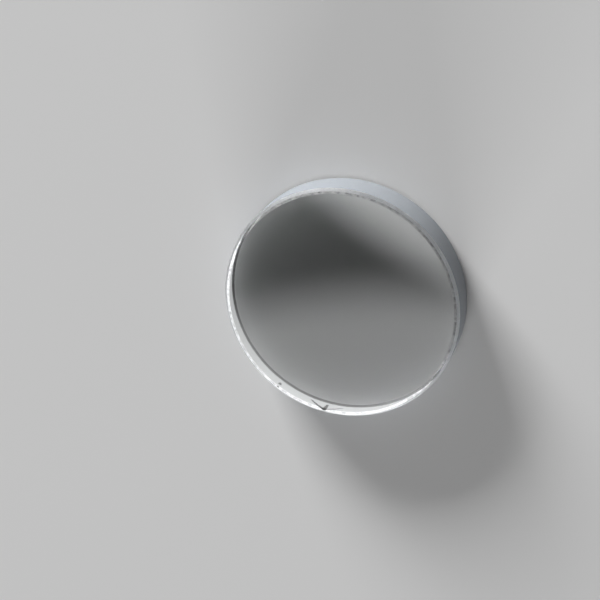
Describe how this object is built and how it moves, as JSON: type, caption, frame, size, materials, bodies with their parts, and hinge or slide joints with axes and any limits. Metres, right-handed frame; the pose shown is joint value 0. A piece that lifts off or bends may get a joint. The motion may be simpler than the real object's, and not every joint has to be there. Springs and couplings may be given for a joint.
{
  "type": "half mirror",
  "caption": "Round plate half mirror: a polished glass disc with a ground rim, bevelled edges and a half-reflecting coated front face that splits a beam of light in two.",
  "frame": {"origin": "middle of the back face, which is the lowest face when the plate lies down", "axes": "+Z along the plate's axis, out of the coated front face; +X and +Y lie in the back face, and the round plate is the same about +Z at every angle"},
  "size_m": [0.05, 0.05, 0.008],
  "materials": {
    "glass": "polished faces, the front one with a neutral half-reflecting coat, and a fine-ground rim and bevels"
  },
  "bodies": {
    "root": {"glass_plate": "glass"}
  },
  "joints": []
}
